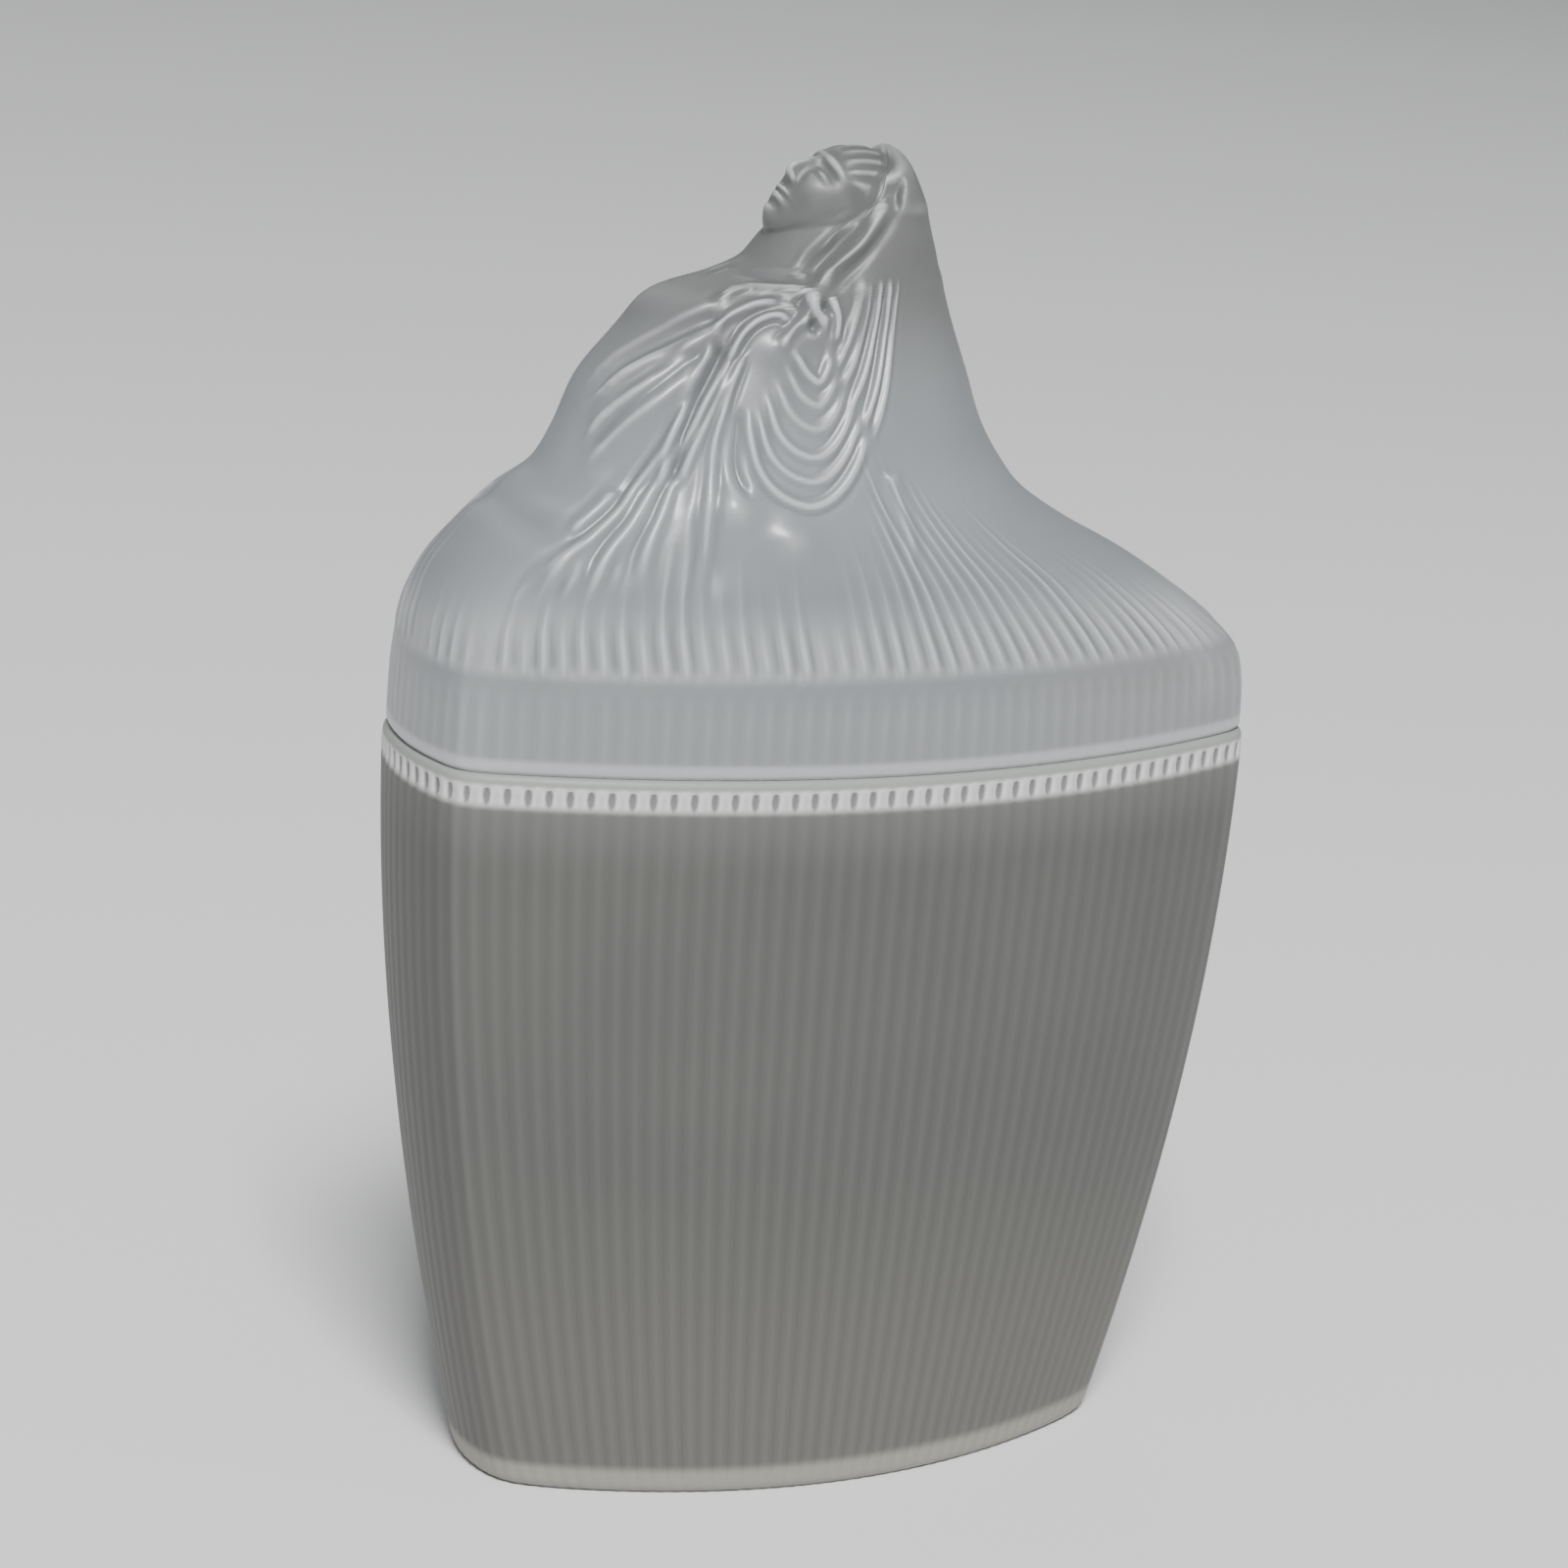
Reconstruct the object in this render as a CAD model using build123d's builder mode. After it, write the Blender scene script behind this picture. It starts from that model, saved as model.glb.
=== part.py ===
from build123d import *

import math
import os

# Covered vanity jar in pressed satin glass: a tapering jar of flat cushion section, and a lift-off lid
# whose pleated drapery rises into a draped figure. Millimetres, +Z up, origin at the middle of the foot.
# The long side runs along X and the figure faces -Y.

# Jar, outside
RIM_WIDTH = 100.0
RIM_DEPTH = 47.0
RIM_END = 25.0  # chord of the narrow end face
FOOT_WIDTH = 78.0
FOOT_DEPTH = 37.0
FOOT_END = 17.0
JAR_HEIGHT = 85.0
TAPER_POWER = 1.9  # 1 is a straight taper; more keeps the sides upright near the rim
END_BULGE = 2.2  # how far an end face stands out from its chord
CORNER_RADIUS = 4.0
CORNER_SHARE = 0.63  # how far a corner moves in along Y for each millimetre of inset
RIM_ROUND = 0.9
FOOT_ROUND = 1.0

# Jar, inside
WALL = 3.0
FLOOR = 4.5
FLOOR_DISH = 2.0  # the cavity's bottom edge is bevelled by this much
MOUTH_DEPTH = 3.2  # ground step just inside the mouth
MOUTH_STEP = 0.8
FOOT_RING = 4.0
FOOT_RECESS = 0.8

# Lid, up to the shoulder where the drapery starts
LID_INSET = 0.35  # the lid stands this far inside the jar's rim
BAND_HEIGHT = 9.5
BAND_TAPER = 0.5
BAND_ROUND = 1.2
FLANGE_DEPTH = 8.0
FLANGE_WALL = 2.4
FLANGE_CLEARANCE = 0.5

# Drapery: height, middle x, middle y, half width, half depth, squareness (2 is an ellipse)
DRAPERY = (
    (93.0, -1.0, 0.1, 47.2, 21.6, 2.6),
    (98.0, -2.2, 0.3, 45.8, 21.2, 2.5),
    (103.0, -4.6, 0.7, 42.0, 19.6, 2.3),
    (108.5, -7.6, 1.2, 35.4, 17.6, 2.2),
    (114.0, -8.3, 1.5, 28.8, 15.8, 2.1),
    (121.0, -8.4, 1.6, 24.6, 13.6, 2.0),
    (128.0, -7.2, 1.8, 21.0, 11.4, 2.0),
    (133.0, -6.0, 2.2, 17.4, 8.8, 2.0),
    (134.6, -5.6, 2.2, 13.0, 6.0, 2.0),
)

# Veil, from inside the drapery up to the crown of the head, in the same terms
VEIL = (
    (126.0, 3.0, 4.0, 11.0, 9.0, 2.0),
    (134.0, 2.2, 4.0, 9.4, 8.0, 2.0),
    (141.0, 1.6, 3.4, 6.9, 6.6, 2.0),
    (146.5, 2.4, 2.6, 4.6, 4.8, 2.0),
    (149.5, 3.2, 2.0, 1.6, 1.8, 2.0),
)

# Hollow under the lid, in the same terms
HOLLOW = (
    (JAR_HEIGHT, 0.0, 0.0, 43.0, 16.8, 3.0),
    (95.0, -2.0, 0.3, 39.0, 15.2, 2.6),
    (104.0, -5.5, 0.8, 29.0, 12.0, 2.2),
)

# Neck and head: a plain tapering neck and an egg that leans back towards the veil
NECK_BASE = (-9.0, -1.0, 130.0)
NECK_TOP = (-5.0, 0.4, 141.0)
NECK_RADII = (5.0, 4.2)
HEAD_CENTRE = (-3.6, 0.6, 142.8)
HEAD_HALF_WIDTH = 5.7
HEAD_HALF_LENGTH = 8.0
HEAD_LEAN = 55.0  # degrees from upright

OVAL_POINTS = 40


def cushion(height, inset=0.0):
    """The jar's outline at a height above the foot, drawn in by an inset; above the rim it stays the same."""
    narrowing = max(0.0, 1 - height / JAR_HEIGHT) ** TAPER_POWER
    x = (RIM_WIDTH - (RIM_WIDTH - FOOT_WIDTH) * narrowing) / 2 - inset
    y = (RIM_DEPTH - (RIM_DEPTH - FOOT_DEPTH) * narrowing) / 2 - inset
    corner_x = x - END_BULGE
    corner_y = (RIM_END - (RIM_END - FOOT_END) * narrowing) / 2 - CORNER_SHARE * inset
    with BuildSketch(Plane.XY.offset(height)) as outline:
        with BuildLine():
            ThreePointArc((corner_x, corner_y), (0, y), (-corner_x, corner_y))
            ThreePointArc((-corner_x, corner_y), (-x, 0), (-corner_x, -corner_y))
            ThreePointArc((-corner_x, -corner_y), (0, -y), (corner_x, -corner_y))
            ThreePointArc((corner_x, -corner_y), (x, 0), (corner_x, corner_y))
        make_face()
        fillet(outline.vertices(), CORNER_RADIUS)
    return outline.sketch


def oval(height, middle_x, middle_y, half_width, half_depth, squareness):
    """A superellipse at a height, as one smooth closed curve."""
    points = []
    for step in range(OVAL_POINTS):
        turn = step * math.tau / OVAL_POINTS
        across, back = math.cos(turn), math.sin(turn)
        x = math.copysign(abs(across) ** (2 / squareness), across) * half_width
        y = math.copysign(abs(back) ** (2 / squareness), back) * half_depth
        points.append((middle_x + x, middle_y + y))
    with BuildSketch(Plane.XY.offset(height)) as outline:
        with BuildLine():
            Spline(*points, periodic=True)
        make_face()
    return outline.sketch


def make_jar():
    dish_top = FLOOR + FLOOR_DISH
    with BuildPart() as jar:
        loft(sections=[cushion(share * JAR_HEIGHT) for share in (0.0, 0.2, 0.4, 0.65, 1.0)])
        fillet(jar.faces().sort_by(Axis.Z)[-1].edges(), RIM_ROUND)
        fillet(jar.faces().sort_by(Axis.Z)[0].edges(), FOOT_ROUND)
        loft(sections=[cushion(FLOOR, WALL + FLOOR_DISH), cushion(dish_top, WALL)], mode=Mode.SUBTRACT)
        cavity_heights = (dish_top, 0.35 * JAR_HEIGHT, 0.65 * JAR_HEIGHT, JAR_HEIGHT)
        loft(sections=[cushion(height, WALL) for height in cavity_heights], mode=Mode.SUBTRACT)
        extrude(cushion(JAR_HEIGHT, WALL - MOUTH_STEP), amount=-MOUTH_DEPTH, mode=Mode.SUBTRACT)
        extrude(cushion(0.0, FOOT_RING), amount=FOOT_RECESS, mode=Mode.SUBTRACT)
    return jar.part


def make_lid():
    flange_inset = WALL + FLANGE_CLEARANCE
    shoulder = cushion(JAR_HEIGHT + BAND_HEIGHT, LID_INSET + BAND_TAPER)
    with BuildPart() as lid:
        loft(sections=[cushion(JAR_HEIGHT, LID_INSET), shoulder])
        fillet(lid.faces().sort_by(Axis.Z)[-1].edges(), BAND_ROUND)
        loft(sections=[oval(*row) for row in DRAPERY])
        loft(sections=[oval(*row) for row in VEIL])
        # Neck
        rise = Vector(*NECK_TOP) - Vector(*NECK_BASE)
        with BuildSketch(Plane(origin=NECK_BASE, z_dir=rise)):
            Circle(NECK_RADII[0])
        with BuildSketch(Plane(origin=NECK_TOP, z_dir=rise)):
            Circle(NECK_RADII[1])
        loft()
        # Head
        lean = math.radians(HEAD_LEAN)
        face_plane = Plane(HEAD_CENTRE, x_dir=(math.cos(lean), 0, -math.sin(lean)), z_dir=(0, -1, 0))
        with BuildSketch(face_plane):
            Ellipse(HEAD_HALF_WIDTH, HEAD_HALF_LENGTH)
            split(bisect_by=Plane.YZ)
        revolve(axis=Axis(HEAD_CENTRE, face_plane.y_dir))
        loft(sections=[oval(*row) for row in HOLLOW], mode=Mode.SUBTRACT)
        # Flange
        extrude(cushion(JAR_HEIGHT, flange_inset), amount=-FLANGE_DEPTH)
        extrude(cushion(JAR_HEIGHT, flange_inset + FLANGE_WALL), amount=-FLANGE_DEPTH, mode=Mode.SUBTRACT)
    return lid.part


os.makedirs("parts", exist_ok=True)

jar = make_jar()
jar.label = "jar"
export_step(jar, "parts/jar.step")

lid = make_lid()
lid.label = "lid"
export_step(lid, "parts/lid.step")
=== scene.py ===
import math
import bmesh
import bpy
import numpy as np
from mathutils import Matrix, Vector


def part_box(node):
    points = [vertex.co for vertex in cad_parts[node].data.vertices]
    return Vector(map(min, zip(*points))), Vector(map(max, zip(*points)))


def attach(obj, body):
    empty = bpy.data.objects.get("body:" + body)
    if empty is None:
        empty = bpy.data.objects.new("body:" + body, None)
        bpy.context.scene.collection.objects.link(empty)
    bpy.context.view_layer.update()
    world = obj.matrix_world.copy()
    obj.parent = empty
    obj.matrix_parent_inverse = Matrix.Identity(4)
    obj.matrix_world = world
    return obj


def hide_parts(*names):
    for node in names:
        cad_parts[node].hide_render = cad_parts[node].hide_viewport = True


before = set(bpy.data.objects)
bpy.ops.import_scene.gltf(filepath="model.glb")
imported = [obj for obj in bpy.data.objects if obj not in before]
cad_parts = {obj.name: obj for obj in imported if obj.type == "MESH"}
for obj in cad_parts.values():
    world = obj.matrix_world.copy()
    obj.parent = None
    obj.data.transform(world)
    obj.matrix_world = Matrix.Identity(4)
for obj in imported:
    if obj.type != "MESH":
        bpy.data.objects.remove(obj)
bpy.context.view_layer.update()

jarLow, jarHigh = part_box("jar")
mm = 0.001  # everything below is in millimetres until a mesh is made
seam = jarHigh.z / mm


# Shape maths

def smooth(low, high, value):
    t = np.clip((value - low) / (high - low), 0, 1)
    return t * t * (3 - 2 * t)


def curveThrough(keys, where):  # Catmull-Rom; where counts from 0 at the first key
    keys = np.asarray(keys, float)
    padded = np.vstack([2 * keys[0] - keys[1], keys, 2 * keys[-1] - keys[-2]])
    start = np.clip(np.floor(where).astype(int), 0, len(keys) - 2)
    t = (where - start)[:, None]
    a, b, c, d = padded[start], padded[start + 1], padded[start + 2], padded[start + 3]
    square, cube = 2 * a - 5 * b + 4 * c - d, 3 * b - a - 3 * c + d
    return 0.5 * (2 * b + (c - a) * t + square * t ** 2 + cube * t ** 3)


def bowReach(apex, chord, bulge, towards, aside):  # from the centre out to a bowed side, along a direction
    bend = bulge * aside ** 2 / chord ** 2
    return 2 * apex / (towards + np.sqrt(towards ** 2 + 4 * bend * apex))


def evenly(points, count):  # resamples a closed outline at equal steps, keeping its first point
    closed = np.vstack([points, points[:1]])
    along = np.concatenate([[0], np.cumsum(np.linalg.norm(np.diff(closed, axis=0), axis=1))])
    wanted = np.linspace(0, along[-1], count + 1)[:-1]
    return np.stack([np.interp(wanted, along, closed[:, axis]) for axis in (0, 1)], 1)


def gridNormals(rings):  # rings: rows x columns x 3, columns closed
    across = np.roll(rings, -1, 1) - np.roll(rings, 1, 1)
    up = np.gradient(rings, axis=0)
    normal = np.cross(across, up)
    return normal / np.maximum(np.linalg.norm(normal, axis=2, keepdims=True), 1e-9)


def shellMesh(name, rings):  # closed rings joined in order, with a cap on the first and the last
    rows, columns = rings.shape[:2]
    index = np.arange(rows * columns).reshape(rows, columns)
    nextColumn = np.roll(index, -1, 1)
    quads = np.stack([index[:-1], nextColumn[:-1], nextColumn[1:], index[1:]], 2).reshape(-1, 4)
    faces = quads.tolist() + [index[0][::-1].tolist(), index[-1].tolist()]
    mesh = bpy.data.meshes.new(name)
    mesh.from_pydata((rings.reshape(-1, 3) * mm).tolist(), [], faces)
    mesh.update()
    piece = bpy.data.objects.new(name, mesh)
    bpy.context.scene.collection.objects.link(piece)
    mesh.shade_smooth()
    return piece


def markBends(mesh):  # stores how far each point stands out of its neighbours: crests above 0, valleys below
    count = len(mesh.vertices)
    spots, normals = np.empty(3 * count), np.empty(3 * count)
    mesh.vertices.foreach_get("co", spots)
    mesh.vertices.foreach_get("normal", normals)
    spots, normals = spots.reshape(-1, 3), normals.reshape(-1, 3)
    edges = np.empty(2 * len(mesh.edges), int)
    mesh.edges.foreach_get("vertices", edges)
    start, end = edges.reshape(-1, 2).T
    way = spots[end] - spots[start]
    way /= np.maximum(np.linalg.norm(way, axis=1, keepdims=True), 1e-9)
    shared = np.bincount(start, minlength=count) + np.bincount(end, minlength=count)

    def meanRound(fromStart, fromEnd):  # averages over the edges that meet at each point
        return (np.bincount(start, fromStart, count) + np.bincount(end, fromEnd, count)) / shared

    bend = -meanRound((way * normals[start]).sum(1), -(way * normals[end]).sum(1))
    for step in range(2):
        bend = (bend + meanRound(bend[end], bend[start])) / 2
    # the finishes paint highlights on these crests and shade in these valleys
    mesh.attributes.new("bend", "FLOAT", "POINT").data.foreach_set("value", bend)


# Outline that jar and lid share: a flat cushion, drawn in towards the foot

cushion = {
    "rimWidth": (jarHigh.x - jarLow.x) / mm,
    "rimDepth": (jarHigh.y - jarLow.y) / mm,
    "rimEnd": 25.0,
    "footWidth": 78.0,
    "footDepth": 37.0,
    "footEnd": 17.0,
    "taper": 1.9,
    "endBulge": 2.2,
    "cornerSoft": 1.0,
    "cornerShare": 0.63,
    "ribs": 112,
    "drawnPoints": 2880,
}


def cushionRing(height, inset, columns):
    c = cushion
    narrowing = max(0.0, 1 - height / seam) ** c["taper"]
    x = (c["rimWidth"] - (c["rimWidth"] - c["footWidth"]) * narrowing) / 2 - inset
    y = (c["rimDepth"] - (c["rimDepth"] - c["footDepth"]) * narrowing) / 2 - inset
    cornerX = x - c["endBulge"]
    cornerY = (c["rimEnd"] - (c["rimEnd"] - c["footEnd"]) * narrowing) / 2 - c["cornerShare"] * inset
    turn = np.linspace(0, math.tau, c["drawnPoints"] + 1)[:-1] + math.pi / 2
    across, along = np.abs(np.cos(turn)), np.abs(np.sin(turn))
    long = bowReach(y, cornerX, y - cornerY, along, across)
    end = bowReach(x, cornerY, c["endBulge"], across, along)
    k = c["cornerSoft"]
    reach = -k * np.log(np.exp(-long / k) + np.exp(-end / k))
    ring = evenly(np.stack([np.cos(turn) * reach, np.sin(turn) * reach], 1), columns)
    return np.column_stack([ring, np.full(columns, height)])


def outwards(ring):  # level normals of a ring
    along = np.roll(ring, -1, 0) - np.roll(ring, 1, 0)
    normal = np.column_stack([along[:, 1], -along[:, 0], np.zeros(len(ring))])
    return normal / np.linalg.norm(normal, axis=1, keepdims=True)


def ribWave(phase, sharp):  # 1 on a rib's crest, 0 in the groove between ribs
    return (0.5 - 0.5 * np.cos(math.tau * phase)) ** sharp


# Camera, floor and light

view = {
    "aim": (-4.2, 0.0, 77.9),
    "distance": 462.5,
    "azimuth": -25.1,
    "elevation": 15.6,
    "roll": 3.84,
    "lens": 94.6,
}


def setCamera():
    azimuth, elevation = math.radians(view["azimuth"]), math.radians(view["elevation"])
    level = math.cos(elevation)
    back = Vector((math.sin(azimuth) * level, -math.cos(azimuth) * level, math.sin(elevation)))
    camera = bpy.data.objects.new("viewCamera", bpy.data.cameras.new("viewCamera"))
    camera.data.lens = view["lens"]
    camera.data.sensor_width = 36.0
    camera.data.clip_start = 0.01
    turn = back.to_track_quat("Z", "Y").to_matrix() @ Matrix.Rotation(math.radians(view["roll"]), 3, "Z")
    place = (Vector(view["aim"]) + back * view["distance"]) * mm
    camera.matrix_world = Matrix.Translation(place) @ turn.to_4x4()
    bpy.context.scene.collection.objects.link(camera)
    bpy.context.scene.camera = camera


studio = {
    "floorTone": 0.72,
    "worldTone": (0.86, 0.88, 0.90),
    "worldStrength": 0.36,
    "floorHalf": 4000.0,
    "lampAim": (0.0, 0.0, 80.0),
    "lamps": (  # name, place, size, watts
        ("leftSoftbox", (-500.0, -1500.0, 2100.0), 700.0, 110.0),
        ("rightSoftbox", (2000.0, -900.0, 900.0), 1200.0, 3.0),
        ("backSoftbox", (300.0, 2000.0, 1500.0), 1500.0, 4.0),
    ),
}


def setStudio():
    world = bpy.data.worlds.new("studioWorld")
    bpy.context.scene.world = world
    world.use_nodes = True
    world.node_tree.nodes["Background"].inputs["Color"].default_value = (*studio["worldTone"], 1)
    world.node_tree.nodes["Background"].inputs["Strength"].default_value = studio["worldStrength"]
    for name, place, size, watts in studio["lamps"]:
        lamp = bpy.data.objects.new(name, bpy.data.lights.new(name, "AREA"))
        lamp.data.size = size * mm
        lamp.data.energy = watts
        lamp.location = Vector(place) * mm
        towards = Vector(studio["lampAim"]) - Vector(place)
        lamp.rotation_euler = towards.to_track_quat("-Z", "Y").to_euler()
        bpy.context.scene.collection.objects.link(lamp)
    half = studio["floorHalf"] * mm
    mesh = bpy.data.meshes.new("paleFloor")
    corners = [(-half, -half, 0), (half, -half, 0), (half, half, 0), (-half, half, 0)]
    mesh.from_pydata(corners, [], [(0, 1, 2, 3)])
    floor = bpy.data.objects.new("paleFloor", mesh)
    bpy.context.scene.collection.objects.link(floor)
    paint = bpy.data.materials.new("floorPaint")
    paint.use_nodes = True
    shader = paint.node_tree.nodes["Principled BSDF"]
    tone = studio["floorTone"]
    shader.inputs["Base Color"].default_value = (tone, tone, tone, 1)
    shader.inputs["Roughness"].default_value = 0.9
    shader.inputs["Specular IOR Level"].default_value = 0.1
    mesh.materials.append(paint)


setCamera()
setStudio()
print("camera and studio set")


# Jar

jar = {
    "samples": 8,  # columns for each rib
    "ribHeight": 0.11,
    "wall": 3.0,
    "floor": 4.5,
    "mouthStep": 0.8,
    "mouthDepth": 3.2,
    "footRing": 4.0,
    "footRecess": 0.8,
}


def buildJar():
    wall, floor = jar["wall"], jar["floor"]
    mouth = wall - jar["mouthStep"]
    ledge = seam - jar["mouthDepth"]
    profile = [  # height, inset from the outline, how strongly the ribs show
        (floor, 12.0, 0), (floor, 6.2, 0), (floor + 0.3, 4.6, 0), (floor + 1.1, 3.4, 0),
        (floor + 2.6, wall, 0),
    ]
    profile += [(height, wall, 0) for height in np.linspace(floor + 7, ledge - 1.2, 12)]
    profile += [
        (ledge - 0.15, wall, 0), (ledge, wall - 0.1, 0), (ledge + 0.05, mouth + 0.1, 0),
        (ledge + 0.2, mouth, 0), (seam - 0.7, mouth, 0), (seam - 0.2, mouth - 0.12, 0),
        (seam, mouth - 0.5, 0), (seam, 0.95, 0), (seam - 0.12, 0.5, 0), (seam - 0.4, 0.22, 0),
        (seam - 0.8, 0.1, 0), (seam - 1.2, 0.06, 0.2), (seam - 1.5, 0.02, 2.8), (seam - 2.2, 0, 4.4),
        (seam - 2.9, 0, 3.8), (seam - 3.5, 0, 1.6), (seam - 4.1, 0, 1),
    ]
    profile += [(height, 0, 1) for height in np.linspace(seam - 5, 3, 30)]
    ring, recess = jar["footRing"], jar["footRecess"]
    profile += [
        (1.6, 0, 1), (1.0, 0.04, 0.95), (0.5, 0.22, 0.8), (0.2, 0.5, 0.4), (0.04, 0.9, 0.1), (0, 1.3, 0),
        (0, ring - 0.3, 0), (0.1, ring, 0), (recess - 0.1, ring + 0.2, 0), (recess, ring + 0.5, 0),
        (recess, 12.0, 0),
    ]
    columns = cushion["ribs"] * jar["samples"]
    groove = jar["ribHeight"] * (1 - ribWave(np.arange(columns) / jar["samples"], 0.8))[:, None]
    rings = []
    for height, inset, strength in profile:
        flat = cushionRing(height, inset, columns)
        rings.append(flat - outwards(flat) * groove * strength)
    return shellMesh("jarGlass", np.array(rings[::-1]))  # foot first, so the faces look outwards


# Lid

lid = {
    "samples": 5,  # columns for each rib
    "inset": 0.35,
    "rows": (  # from height, to height, how many
        (85.0, 87.0, 5), (88.0, 94.6, 6), (95.0, 104.0, 20), (104.33, 137.0, 92), (137.4, 149.5, 24),
    ),
    "bandRib": 0.13,
    "pleat": 0.58,
    "flangeDepth": 8.0,
    "flangeWall": 2.4,
    "flangeGap": 3.5,  # from the jar's outline to the flange
    "hollow": (  # height, share of the outline
        (103.5, 0.35), (103.2, 0.52), (102.0, 0.62), (99.0, 0.72), (95.0, 0.80), (90.0, 0.845),
    ),
    "levels": (  # height, middle x, middle y, left, right, front, back, squareness
        (85.0, 0.0, 0.0, -49.2, 49.2, -22.75, 22.75, 4.0),
        (85.4, 0.0, 0.0, -49.6, 49.6, -23.1, 23.1, 4.0),
        (88.0, 0.0, 0.0, -49.6, 49.6, -23.1, 23.1, 3.6),
        (91.5, 0.0, 0.0, -49.5, 49.3, -23.0, 23.0, 3.2),
        (94.4, 0.0, 0.0, -49.3, 48.3, -22.5, 22.6, 2.9),
        (97.0, -0.2, 0.1, -49.0, 45.9, -21.5, 21.9, 2.6),
        (100.5, -0.9, 0.3, -48.4, 41.4, -20.2, 20.8, 2.5),
        (104.5, -2.0, 0.6, -46.8, 35.2, -19.2, 19.2, 2.4),
        (108.5, -3.4, 0.9, -43.6, 27.4, -18.0, 17.4, 2.3),
        (112.0, -4.8, 1.2, -40.0, 21.9, -16.9, 16.0, 2.2),
        (115.0, -6.0, 1.4, -35.6, 19.2, -15.9, 14.9, 2.1),
        (119.5, -7.2, 1.5, -33.0, 16.5, -14.2, 13.7, 2.0),
        (125.0, -7.2, 1.7, -30.0, 14.5, -12.1, 12.3, 2.0),
        (130.0, -6.4, 2.0, -26.2, 12.7, -9.9, 11.0, 2.0),
        (133.4, -4.4, 2.0, -22.9, 11.5, -8.6, 10.1, 2.0),
        (135.2, -2.3, 1.8, -16.8, 10.9, -7.9, 9.7, 2.0),
        (136.8, -0.5, 1.7, -12.9, 10.2, -7.3, 9.3, 2.0),
        (138.6, 1.2, 1.5, -11.3, 9.5, -6.9, 8.8, 2.0),
        (140.4, 2.4, 1.4, -9.9, 8.7, -6.7, 8.4, 2.0),
        (142.2, 3.0, 1.3, -6.0, 7.9, -6.4, 7.8, 2.1),
        (144.0, 3.4, 1.2, -0.2, 7.1, -6.0, 7.2, 2.3),
        (147.4, 3.4, 1.2, 1.5, 5.6, -4.1, 5.2, 2.2),
        (149.0, 3.4, 1.2, 2.3, 4.6, -1.6, 3.2, 2.0),
        (149.5, 3.4, 1.2, 3.0, 3.8, 0.6, 1.8, 2.0),
    ),
    "pleatTops": (  # how high the pleats run up the front, by where they meet the rim in x
        (-50.0, 102.0), (-40.0, 106.0), (-28.0, 110.0), (-18.0, 108.5), (-10.0, 105.5), (-2.0, 109.0),
        (6.0, 117.5), (14.0, 118.0), (22.0, 113.0), (32.0, 107.0), (50.0, 101.0),
    ),
}


def drapeRings(columns):
    heights = np.concatenate([np.linspace(*step) for step in lid["rows"]])
    levels = np.array(lid["levels"])
    dense = curveThrough(levels, np.linspace(0, len(levels) - 1, 1500))
    table = np.stack([np.interp(heights, dense[:, 0], dense[:, i]) for i in range(dense.shape[1])], 1)
    rim = cushionRing(seam, lid["inset"], columns)
    unit = rim[:, :2] / [abs(rim[:, 0]).max(), abs(rim[:, 1]).max()]
    turn = np.arctan2(unit[:, 1], unit[:, 0])
    direction = np.stack([np.cos(turn), np.sin(turn)], 1)
    rings = []
    for height, middleX, middleY, left, right, front, back, squareness in table:
        reach = (np.abs(direction) ** squareness).sum(1) ** (-1 / squareness)
        shape = unit + (direction * reach[:, None] - unit) * smooth(90, 112, height)
        halfX = np.where(shape[:, 0] < 0, middleX - left, right - middleX)
        halfY = np.where(shape[:, 1] < 0, middleY - front, back - middleY)
        x, y = middleX + shape[:, 0] * halfX, middleY + shape[:, 1] * halfY
        rings.append(np.column_stack([x, y, np.full(columns, height)]))
    return np.array(rings), rim


def underside(columns):  # from the top of the hollow down the flange and out to the lid's edge
    gap = lid["flangeGap"]
    inner = gap + lid["flangeWall"]
    tip = seam - lid["flangeDepth"]
    rings = []
    levels = np.array(lid["levels"])
    rim = cushionRing(seam, lid["inset"], columns)
    unit = rim[:, :2] / [abs(rim[:, 0]).max(), abs(rim[:, 1]).max()]
    for height, inward in lid["hollow"]:
        row = [np.interp(height, levels[:, 0], levels[:, i]) for i in range(8)]
        halfX = np.where(unit[:, 0] < 0, row[1] - row[3], row[4] - row[1]) * inward
        halfY = np.where(unit[:, 1] < 0, row[2] - row[5], row[6] - row[2]) * inward
        x, y = row[1] + unit[:, 0] * halfX, row[2] + unit[:, 1] * halfY
        rings.append(np.column_stack([x, y, np.full(columns, height)]))
    for height, inset in (
        (seam, inner), (tip + 0.5, inner), (tip + 0.1, inner - 0.4), (tip, inner - 0.8), (tip, gap + 0.6),
        (tip + 0.15, gap + 0.2), (tip + 0.6, gap), (seam - 0.3, gap), (seam, gap - 0.3),
    ):
        rings.append(cushionRing(height, inset, columns))
    return np.array(rings)


# Folds: lines drawn on the drapery as (x, height), laid on its front or its back.
# A family runs from its first line to its last. A push below 0 is a hollow.

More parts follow.
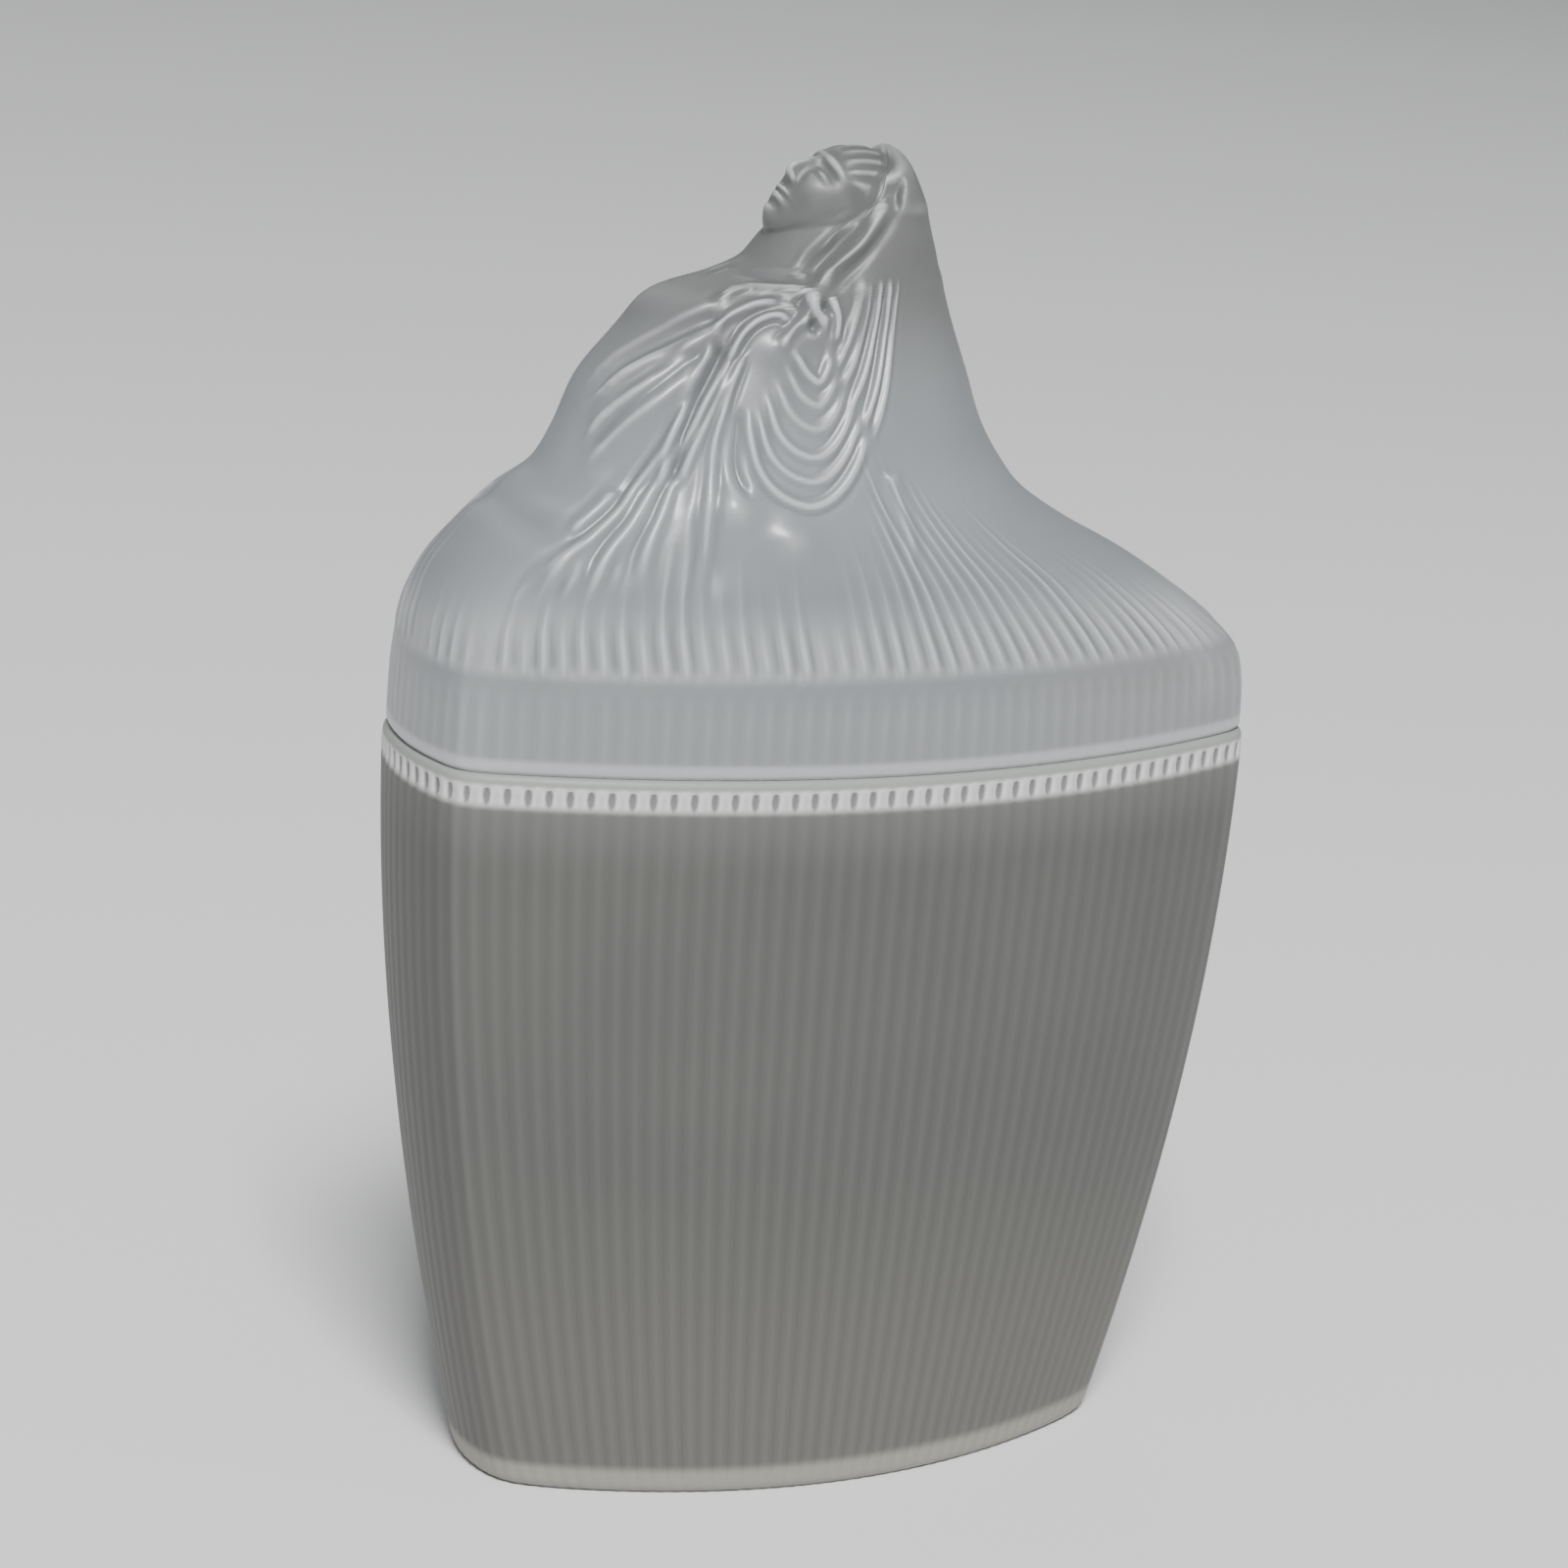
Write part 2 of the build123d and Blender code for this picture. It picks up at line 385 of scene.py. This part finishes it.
folds = {
    "families": (  # side, how many, push, width at start, width at end, first line, last line
        ("front", 6, 0.5, 0.46, 0.46,  # cowl hanging between shoulder and clasp
         ((-11.6, 129.0), (-10.6, 127.0), (-9.7, 126.0), (-8.8, 125.6), (-8.0, 126.2), (-7.2, 127.8),
          (-6.2, 130.6)),
         ((-16.6, 123.0), (-16.4, 118.0), (-14.4, 114.9), (-10.9, 113.6), (-7.6, 115.0), (-4.6, 118.8),
          (-2.2, 125.0))),
        ("front", 5, 0.42, 0.42, 0.5,  # veil's edge sweeping down into the cowl
         ((-2.2, 136.6), (-3.2, 133.0), (-5.2, 129.4), (-7.6, 126.6)),
         ((2.0, 136.6), (0.8, 130.4), (-1.2, 123.6), (-4.4, 117.6))),
        ("front", 9, 0.72, 0.42, 0.85,  # fan from the bend of the arm to the hem
         ((-15.9, 129.4), (-18.4, 124.7), (-20.2, 120.0), (-21.2, 115.4), (-22.2, 110.8), (-22.8, 104.0)),
         ((-20.4, 127.0), (-25.6, 118.6), (-30.4, 112.9), (-34.9, 109.2), (-39.7, 105.5), (-43.5, 101.6))),
        ("front", 3, 0.7, 1.0, 1.3,  # sleeve
         ((-17.4, 131.4), (-22.6, 128.8), (-27.8, 125.0), (-31.8, 120.4)),
         ((-20.6, 127.6), (-25.2, 123.4), (-29.8, 118.6), (-33.4, 114.4))),
        ("back", 11, 0.8, 0.7, 1.3,  # veil and drapery down the back
         ((-16.0, 131.0), (-22.0, 121.0), (-31.0, 110.0), (-42.0, 99.0)),
         ((8.0, 138.0), (11.0, 123.0), (20.0, 108.0), (34.0, 98.0))),
        ("back", 6, 0.4, 0.6, 1.0,
         ((-1.0, 147.0), (-4.0, 137.0), (-7.0, 124.0), (-11.0, 106.0)),
         ((6.0, 145.0), (6.5, 135.0), (8.0, 122.0), (10.0, 106.0))),
    ),
    "strokes": (  # side, push, width, line
        ("front", -1.2, 0.6,  # inside of the bent arm
         ((-18.2, 129.6), (-19.6, 127.3), (-22.0, 123.3), (-24.3, 117.8), (-25.4, 114.8))),
        ("front", -0.9, 0.9, ((-17.4, 132.4), (-22.4, 129.8), (-27.6, 126.2), (-31.4, 121.4))),
        ("front", -0.6, 0.7, ((-19.0, 129.8), (-24.0, 125.6), (-29.0, 121.0), (-32.6, 116.8))),
        ("front", 0.8, 0.45,  # from the arm over to the clasp
         ((-18.2, 127.6), (-16.9, 129.6), (-15.6, 131.0), (-14.0, 132.0), (-12.3, 132.3), (-10.6, 131.4))),
        ("front", 0.5, 0.5, ((-19.4, 130.6), (-16.8, 132.4), (-14.0, 133.5), (-11.6, 133.6))),
        ("front", 0.5, 0.8, ((-30.4, 114.2), (-33.2, 112.0), (-36.2, 109.6))),
        ("front", 0.4, 0.8, ((-1.4, 117.0), (-0.4, 112.6), (1.0, 107.0))),
        ("front", -0.5, 0.6, ((-17.6, 123.6), (-18.6, 117.6), (-17.6, 113.6))),
        ("front", 0.45, 0.5, ((-9.2, 132.2), (-11.0, 131.0), (-13.0, 128.8))),  # from the clasp
        ("front", 0.5, 0.45, ((-6.4, 134.6), (-5.8, 132.2), (-6.4, 129.4))),
        ("front", 0.6, 0.55,  # roll of cloth at the neckline
         ((-18.0, 133.4), (-16.4, 134.3), (-14.0, 134.8), (-11.4, 134.9), (-9.2, 134.4), (-7.6, 133.2))),
        ("front", -0.5, 0.5, ((-17.0, 135.0), (-14.4, 135.8), (-11.6, 136.0), (-9.4, 135.6))),
        ("front", -0.6, 0.8,  # hollow beside the neck
         ((-8.4, 136.2), (-6.8, 137.9), (-5.0, 139.6), (-3.0, 142.0))),
        ("front", 1.1, 0.75,  # the veil's edge, from the clasp to the crown
         ((-8.4, 134.0), (-6.0, 136.4), (-3.2, 138.9), (-1.2, 141.2), (0.6, 143.8), (1.8, 146.2),
          (2.6, 148.2))),
        ("back", 1.1, 0.75,
         ((-9.0, 135.0), (-5.4, 137.0), (-2.6, 140.0), (-0.6, 143.0), (1.2, 145.6), (2.4, 148.0))),
    ),
    "swells": (  # side, push, width, height, place
        ("front", 1.3, 2.4, 2.4, (-19.2, 112.9)),
        ("front", 1.1, 2.8, 2.2, (-13.4, 109.9)),
        ("front", 0.4, 7.0, 5.0, (-7.0, 107.0)),
        ("front", 1.0, 5.0, 4.5, (-27.0, 122.5)),
        ("front", -0.9, 2.4, 1.7, (-39.0, 111.0)),
        ("front", 0.8, 3.2, 2.2, (-37.0, 107.0)),
        ("front", 0.8, 3.0, 2.4, (-12.8, 129.4)),
        ("front", -0.7, 2.2, 3.6, (-22.5, 107.5)),
        ("front", 1.3, 1.9, 2.2, (-8.6, 133.2)),  # gathered clasp and its hollows
        ("front", -1.3, 0.6, 0.75, (-9.9, 133.7)),
        ("front", -1.4, 0.65, 0.6, (-7.2, 133.2)),
        ("front", -1.2, 0.65, 0.65, (-8.7, 131.4)),
        ("back", 1.2, 9.0, 8.0, (-10.0, 118.0)),
    ),
    "linePoints": 28,
    "seed": 11,
}


def layOn(line, surface):  # a smooth line through the points, dropped on the drapery
    line = curveThrough(line, np.linspace(0, len(line) - 1, folds["linePoints"]))
    gap = ((line[:, None, :] - surface[None, :, [0, 2]]) ** 2).sum(2)
    near = np.argpartition(gap, 6, axis=1)[:, :6]
    weight = 1 / (np.take_along_axis(gap, near, 1) + 0.01)
    depth = (surface[near, 1] * weight).sum(1) / weight.sum(1)
    return np.column_stack([line[:, 0], depth, line[:, 1]])


def besideLine(points, path):  # distance to the path, and how far along it (0 to 1)
    start, step = path[:-1], np.diff(path, axis=0)
    length = (step ** 2).sum(1)
    best = np.full(len(points), 1e9)
    along = np.zeros(len(points))
    for i in range(len(start)):
        offset = points - start[i]
        t = np.clip(offset @ step[i] / length[i], 0, 1)
        gap = ((offset - t[:, None] * step[i]) ** 2).sum(1)
        closer = gap < best
        best[closer] = gap[closer]
        along[closer] = (i + t[closer]) / len(start)
    return np.sqrt(best), along


def foldPush(points, path, push, wide):  # crest of a fold with a shallow valley on each side
    amount = np.zeros(len(points))
    margin = 3.5 * max(wide)
    inside = np.all((points > path.min(0) - margin) & (points < path.max(0) + margin), axis=1)
    gap, along = besideLine(points[inside], path)
    across = gap / (wide[0] + (wide[1] - wide[0]) * along)
    taper = smooth(0, 0.14, along) * (1 - smooth(0.76, 1, along))
    crest = np.exp(-np.abs(across) ** 1.7) - 0.3 * np.exp(-((across - 1.9) / 0.8) ** 2)
    amount[inside] = push * taper * crest
    return amount


def foldField(points, normals):
    random = np.random.default_rng(folds["seed"])
    sides = {"front": normals[:, 1] < 0.25, "back": normals[:, 1] > 0.0}
    total = np.zeros(len(points))
    for side, count, push, wideTop, wideEnd, first, last in folds["families"]:
        chosen = sides[side]
        first, last = np.array(first), np.array(last)
        for i in range(count):
            line = first + (last - first) * (i + random.uniform(-0.16, 0.16)) / (count - 1)
            path = layOn(line, points[chosen])
            scale, girth = random.uniform(0.4, 1.3), random.uniform(0.75, 1.2)
            total[chosen] += foldPush(points[chosen], path, push * scale, (wideTop * girth, wideEnd * girth))
    for side, push, wide, line in folds["strokes"]:
        chosen = sides[side]
        total[chosen] += foldPush(points[chosen], layOn(np.array(line), points[chosen]), push, (wide, wide))
    for side, push, wide, tall, (x, height) in folds["swells"]:
        chosen = sides[side]
        gap = ((points[chosen, 0] - x) / wide) ** 2 + ((points[chosen, 2] - height) / tall) ** 2
        total[chosen] += push * np.exp(-gap)
    return total


def pleatField(height, rim):  # ribs on the band, a row of sharp pleats above it, thinning out upwards
    random = np.random.default_rng(folds["seed"] + 1)
    samples = lid["samples"]
    phase = (np.arange(len(rim)) + 0.5) / samples
    middle = rim[(np.arange(len(rim)) // samples) * samples + samples // 2]
    keys = np.array(lid["pleatTops"])
    tops = np.where(middle[:, 1] < 0, np.interp(middle[:, 0], keys[:, 0], keys[:, 1]), 110.0)
    tops = tops + np.repeat(random.uniform(-4.0, 3.0, cushion["ribs"]), samples)
    strong = np.repeat(random.uniform(0.6, 1.3, cushion["ribs"]), samples)
    band = lid["bandRib"] * smooth(85.2, 86.6, height) * (1 - smooth(92.0, 94.6, height))
    pleat = lid["pleat"] * smooth(95.0, 97.4, height) * (1 - 0.5 * smooth(98.6, 102.6, height)) * strong
    pleat = pleat * (1 - smooth(tops - 12, tops + 2, height))
    return pleat * (ribWave(phase, 1.6) - 0.35) - band * (1 - ribWave(phase, 0.8))


def buildDrapery():
    columns = cushion["ribs"] * lid["samples"]
    drape, rim = drapeRings(columns)
    height = drape[:, :, 2]
    normals = gridNormals(drape)
    field = foldField(drape.reshape(-1, 3), normals.reshape(-1, 3)).reshape(drape.shape[:2])
    field *= smooth(95.5, 99.5, height) * (1 - smooth(146.0, 149.0, height))
    drape = drape + normals * (field + pleatField(height, rim))[:, :, None]
    return shellMesh("lidGlass", np.concatenate([underside(columns), drape]))


# Figure: the head, set on the neck that the drapery's rings make

figure = {
    "headMiddle": (-3.6, 0.3, 143.3),
    "scale": 0.98,
    "headUp": (0.86, -0.04, 0.50),  # from chin to crown
    "headFront": (-0.50, -0.18, 0.85),
    "halfWidth": 5.1,
    "halfFront": 5.2,
    "halfBack": 5.8,
    "halfTall": 7.9,
    "jaw": 0.30,
    "brushes": (  # across, up, width, tall, push; a brush off the middle works on both sides
        (0.0, 3.6, 3.6, 2.2, 0.35),  # forehead
        (1.9, 1.75, 1.9, 0.55, 0.28),  # brow
        (2.25, 0.35, 1.35, 0.85, -0.85),  # eye socket
        (2.30, 0.05, 0.95, 0.55, 0.55),  # closed lid
        (2.30, -0.42, 1.0, 0.16, -0.16),  # lash line
        (0.0, 0.6, 0.62, 1.0, 0.35),  # root of the nose
        (0.0, -0.8, 0.62, 1.1, 0.85),  # bridge
        (0.0, -2.2, 0.70, 0.9, 1.25),  # tip
        (0.0, -2.9, 0.62, 0.5, 0.55),
        (0.78, -2.85, 0.42, 0.42, 0.45),  # nostril wing
        (0.0, -3.75, 0.5, 0.5, -0.22),  # groove over the lip
        (0.55, -4.30, 0.75, 0.32, 0.42),  # upper lip
        (0.0, -4.68, 1.5, 0.15, -0.42),  # mouth line
        (0.0, -5.12, 1.05, 0.38, 0.52),  # lower lip
        (0.0, -5.85, 1.1, 0.36, -0.30),
        (0.0, -6.9, 1.35, 0.85, 0.55),  # chin
        (3.1, -1.9, 1.5, 1.7, 0.32),  # cheek
        (3.4, -4.2, 1.4, 1.6, -0.22),
    ),
    "hairRise": 0.26,
    "strandRise": 0.10,
    "strands": 40,
    "weld": 0.03,  # where the head meets the drapery
    "seamReach": 5,
    "seamPasses": 12,
}


def meshPiece(name, build):
    mesh = bpy.data.meshes.new(name)
    build.to_mesh(mesh)
    build.free()
    piece = bpy.data.objects.new(name, mesh)
    bpy.context.scene.collection.objects.link(piece)
    return piece


def buildHead():
    f = figure
    build = bmesh.new()
    bmesh.ops.create_icosphere(build, subdivisions=6, radius=1.0)
    ball = np.array([vertex.co[:] for vertex in build.verts])
    across, up, front = ball[:, 0], ball[:, 1], ball[:, 2]
    chinward = smooth(0.1, -1.0, up)
    place = np.stack([
        across * f["halfWidth"] * (1 - f["jaw"] * chinward),
        up * f["halfTall"],
        front * np.where(front > 0, f["halfFront"] * (1 - 0.12 * chinward), f["halfBack"]) + 0.5 * chinward,
    ], 1)
    push = np.zeros(len(ball))
    for x, y, wide, tall, amount in f["brushes"]:
        for side in ((1,) if x == 0 else (1, -1)):
            push += amount * np.exp(-((place[:, 0] - side * x) / wide) ** 2 - ((place[:, 1] - y) / tall) ** 2)
    push *= smooth(0.15, 0.55, front)
    hair = np.maximum(smooth(0.42, 0.60, up + 0.25 * np.abs(across)), smooth(0.20, -0.05, front + 0.2 * up))
    hair *= smooth(-0.62, -0.30, up)
    strand = np.sin(f["strands"] * np.arctan2(across, up + 1.4) + 3.0 * np.sin(4 * front + 2 * up))
    place += ball * (hair * (f["hairRise"] + f["strandRise"] * strand))[:, None]
    place[:, 2] += push * (1 - hair)
    upward = np.array(f["headUp"]) / np.linalg.norm(f["headUp"])
    facing = np.array(f["headFront"])
    facing = facing - upward * (facing @ upward)
    facing /= np.linalg.norm(facing)
    frameAxes = np.stack([np.cross(upward, facing), upward, facing])
    place = place @ frameAxes * f["scale"] + f["headMiddle"]
    for vertex, spot in zip(build.verts, place * mm):
        vertex.co = spot
    return meshPiece("head", build)


def joinInto(main, extra):  # one closed skin round both, with the seam rounded
    f = figure
    known = {tuple(np.round(vertex.co, 7)) for piece in (main, extra) for vertex in piece.data.vertices}
    union = main.modifiers.new("union", "BOOLEAN")
    union.operation = "UNION"
    union.solver = "MANIFOLD"
    union.object = extra
    shape = bpy.data.meshes.new_from_object(main.evaluated_get(bpy.context.evaluated_depsgraph_get()))
    main.modifiers.clear()
    shape.materials.clear()
    main.data = shape
    bpy.data.objects.remove(extra)
    build = bmesh.new()
    build.from_mesh(shape)
    bmesh.ops.remove_doubles(build, verts=build.verts[:], dist=f["weld"] * mm)
    region = {vertex for vertex in build.verts if tuple(np.round(vertex.co, 7)) not in known}
    for step in range(f["seamReach"]):
        region |= {edge.other_vert(vertex) for vertex in region for edge in vertex.link_edges}
    chosen = [vertex for vertex in build.verts if vertex in region]
    allAxes = {"use_axis_x": True, "use_axis_y": True, "use_axis_z": True}
    for step in range(f["seamPasses"]):
        bmesh.ops.smooth_vert(build, verts=chosen, factor=0.5, **allAxes)
    build.to_mesh(shape)
    build.free()
    shape.shade_smooth()


def buildLid():
    drapery = buildDrapery()
    joinInto(drapery, buildHead())
    return drapery


# Finishes

class Wire:  # a socket that can be used in sums
    def __init__(self, finish, socket):
        self.finish, self.socket = finish, socket

    def maths(self, operation, first, second):
        return self.finish.node("ShaderNodeMath", {"operation": operation}, {0: first, 1: second})

    def __add__(self, other):
        return self.maths("ADD", self, other)

    __radd__ = __add__

    def __sub__(self, other):
        return self.maths("SUBTRACT", self, other)

    def __rsub__(self, other):
        return self.maths("SUBTRACT", other, self)

    def __mul__(self, other):
        return self.maths("MULTIPLY", self, other)

    __rmul__ = __mul__

    def power(self, exponent):
        return self.maths("POWER", self, exponent)

    def absolute(self):
        return self.maths("ABSOLUTE", self, 0)

    def atLeast(self, low):
        return self.maths("MAXIMUM", self, low)


class Finish:  # one material's nodes
    def __init__(self, name):
        self.material = bpy.data.materials.new(name)
        self.material.use_nodes = True
        self.tree = self.material.node_tree
        self.shader = self.tree.nodes["Principled BSDF"]

    def node(self, kind, settings=None, inputs=None, output=0):
        made = self.tree.nodes.new(kind)
        for key, value in (settings or {}).items():
            setattr(made, key, value)
        for key, value in (inputs or {}).items():
            self.feed(made.inputs[key], value)
        return Wire(self, made.outputs[output])

    def feed(self, socket, value):
        if isinstance(value, Wire):
            self.tree.links.new(value.socket, socket)
        else:
            socket.default_value = value

    def step(self, value, low, high):  # smooth 0 to 1; low may be the larger
        settings = {"interpolation_type": "SMOOTHSTEP"}
        return self.node("ShaderNodeMapRange", settings, {"Value": value, "From Min": low, "From Max": high})

    def blend(self, factor, first, second):
        first, second = (part if isinstance(part, Wire) else (*part, 1) for part in (first, second))
        return self.node("ShaderNodeMix", {"data_type": "RGBA"}, {0: factor, 6: first, 7: second}, output=2)

    def edgeDistance(self, x, z):  # millimetres in from the jar's narrow ends
        narrowing = (1 - z * (1 / seam)).atLeast(0).power(cushion["taper"])
        rim, foot = cushion["rimWidth"] / 2, cushion["footWidth"] / 2
        return rim - (rim - foot) * narrowing - x.absolute()

    def set(self, **values):  # constants, straight on the shader
        for key, value in values.items():
            self.shader.inputs[key.replace("_", " ")].default_value = value


def satinGlass(name, look):
    finish = Finish(name)
    spot = finish.node("ShaderNodeTexCoord", output="Object")
    x, z = (finish.node("ShaderNodeSeparateXYZ", {}, {"Vector": spot}, output=i) * 1000 for i in ("X", "Z"))
    cloud = finish.node("ShaderNodeTexNoise", {}, {"Vector": spot, "Scale": 38.0, "Detail": 3.0})
    grain = finish.node("ShaderNodeTexNoise", {}, {"Vector": spot, "Scale": 2600.0, "Detail": 2.0})
    tone = finish.blend(cloud, look["deep"], look["pale"])
    for axis, low, high, colour, share in look["zones"]:  # a zone starts at low and is full at high
        place = {"height": z, "side": x, "edge": finish.edgeDistance(x, z)}[axis]
        tone = finish.blend(finish.step(place, low, high) * share, tone, colour)
    # painted highlight on crests and painted shade in valleys, from the bend each point stores
    bend = finish.node("ShaderNodeAttribute", {"attribute_name": "bend"}, output="Fac")
    tone = finish.blend(finish.step(bend, 0, look["bend"]) * look["crestHighlightShare"], tone, look["crest"])
    tone = finish.blend(finish.step(bend, 0, -look["bend"]) * look["valleyShadeShare"], tone, look["valley"])
    finish.feed(finish.shader.inputs["Base Color"], tone)
    finish.feed(finish.shader.inputs["Roughness"], look["rough"] + 0.10 * grain)
    bump = finish.node("ShaderNodeBump", {}, {"Strength": 0.12, "Distance": 0.0002, "Height": grain})
    finish.feed(finish.shader.inputs["Normal"], bump)
    finish.feed(finish.shader.inputs["Coat Weight"], look["coat"] * (1 - 0.9 * finish.step(z, 126.0, 137.0)))
    finish.set(Transmission_Weight=look["clear"], IOR=look["ior"], Coat_Roughness=look["coatRough"])
    return finish.material


jarFinish = {
    "deep": (0.105, 0.108, 0.101),
    "pale": (0.135, 0.136, 0.126),
    "rough": 0.46,
    "clear": 0.24,
    "ior": 1.32,
    "coat": 0.12,
    "coatRough": 0.4,
    "bend": 0.11,
    # painted highlight on crests
    "crest": (0.36, 0.36, 0.35),
    "crestHighlightShare": 0.5,
    # painted shade in the grooves and hollows
    "valley": (0.06, 0.063, 0.06),
    "valleyShadeShare": 0.75,
    "zones": (  # measured along, starts at, is full at, colour, share
        # painted light from the floor: lighter and warmer towards the foot
        ("height", 45.0, 4.0, (0.165, 0.159, 0.146), 0.8),
        # painted light: a soft glow below the mouth band
        ("height", 74.0, 81.0, (0.19, 0.192, 0.182), 0.5),
        # painted shade: darker towards the narrow ends
        ("edge", 3.0, 0.8, (0.095, 0.093, 0.088), 0.35),
        # painted light glowing in the foot
        ("height", 3.9, 2.4, (0.40, 0.38, 0.325), 0.9),
        ("height", 81.0, 82.2, (0.84, 0.85, 0.83), 0.95),  # ground mouth seen through the wall, its brightness painted light glowing through it
        ("height", 83.7, 84.2, (0.34, 0.37, 0.34), 1.0),
    ),
}
lidFinish = {
    "deep": (0.37, 0.40, 0.425),
    "pale": (0.47, 0.495, 0.51),
    "rough": 0.4,
    "clear": 0.6,
    "ior": 1.45,
    "coat": 0.6,
    "coatRough": 0.28,
    "bend": 0.14,
    # painted highlight on fold and pleat crests
    "crest": (0.92, 0.94, 0.96),
    "crestHighlightShare": 0.8,
    # painted shade in the hollows between folds
    "valley": (0.20, 0.215, 0.225),
    "valleyShadeShare": 0.65,
    "zones": (
        ("side", 8.0, 30.0, (0.43, 0.425, 0.41), 0.6),
        ("height", 93.0, 91.0, (0.46, 0.485, 0.50), 0.8),
        # painted light: the lid's lower edge glows bright
        ("height", 87.0, 86.2, (0.84, 0.86, 0.87), 0.9),
        ("height", 93.2, 94.4, (0.34, 0.36, 0.375), 0.4),  # shaded line where the band turns in
        # painted highlight: the shoulder facing the light is lighter from 94.8, back to grey above 99
        ("height", 94.8, 96.4, (0.60, 0.63, 0.65), 0.9),
        ("height", 99.0, 105.0, (0.38, 0.41, 0.43), 0.9),
        # painted shade: darker up over the chest, neck and head
        ("height", 116.0, 137.0, (0.17, 0.168, 0.16), 0.85),
    ),
}

jarGlass = buildJar()
markBends(jarGlass.data)
jarGlass.data.materials.append(satinGlass("jarSatin", jarFinish))
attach(jarGlass, "jar")
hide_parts("jar")
print("jar built", len(jarGlass.data.polygons))

lidGlass = buildLid()
markBends(lidGlass.data)
lidGlass.data.materials.append(satinGlass("lidSatin", lidFinish))
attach(lidGlass, "lid")
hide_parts("lid")
print("lid built", len(lidGlass.data.polygons))
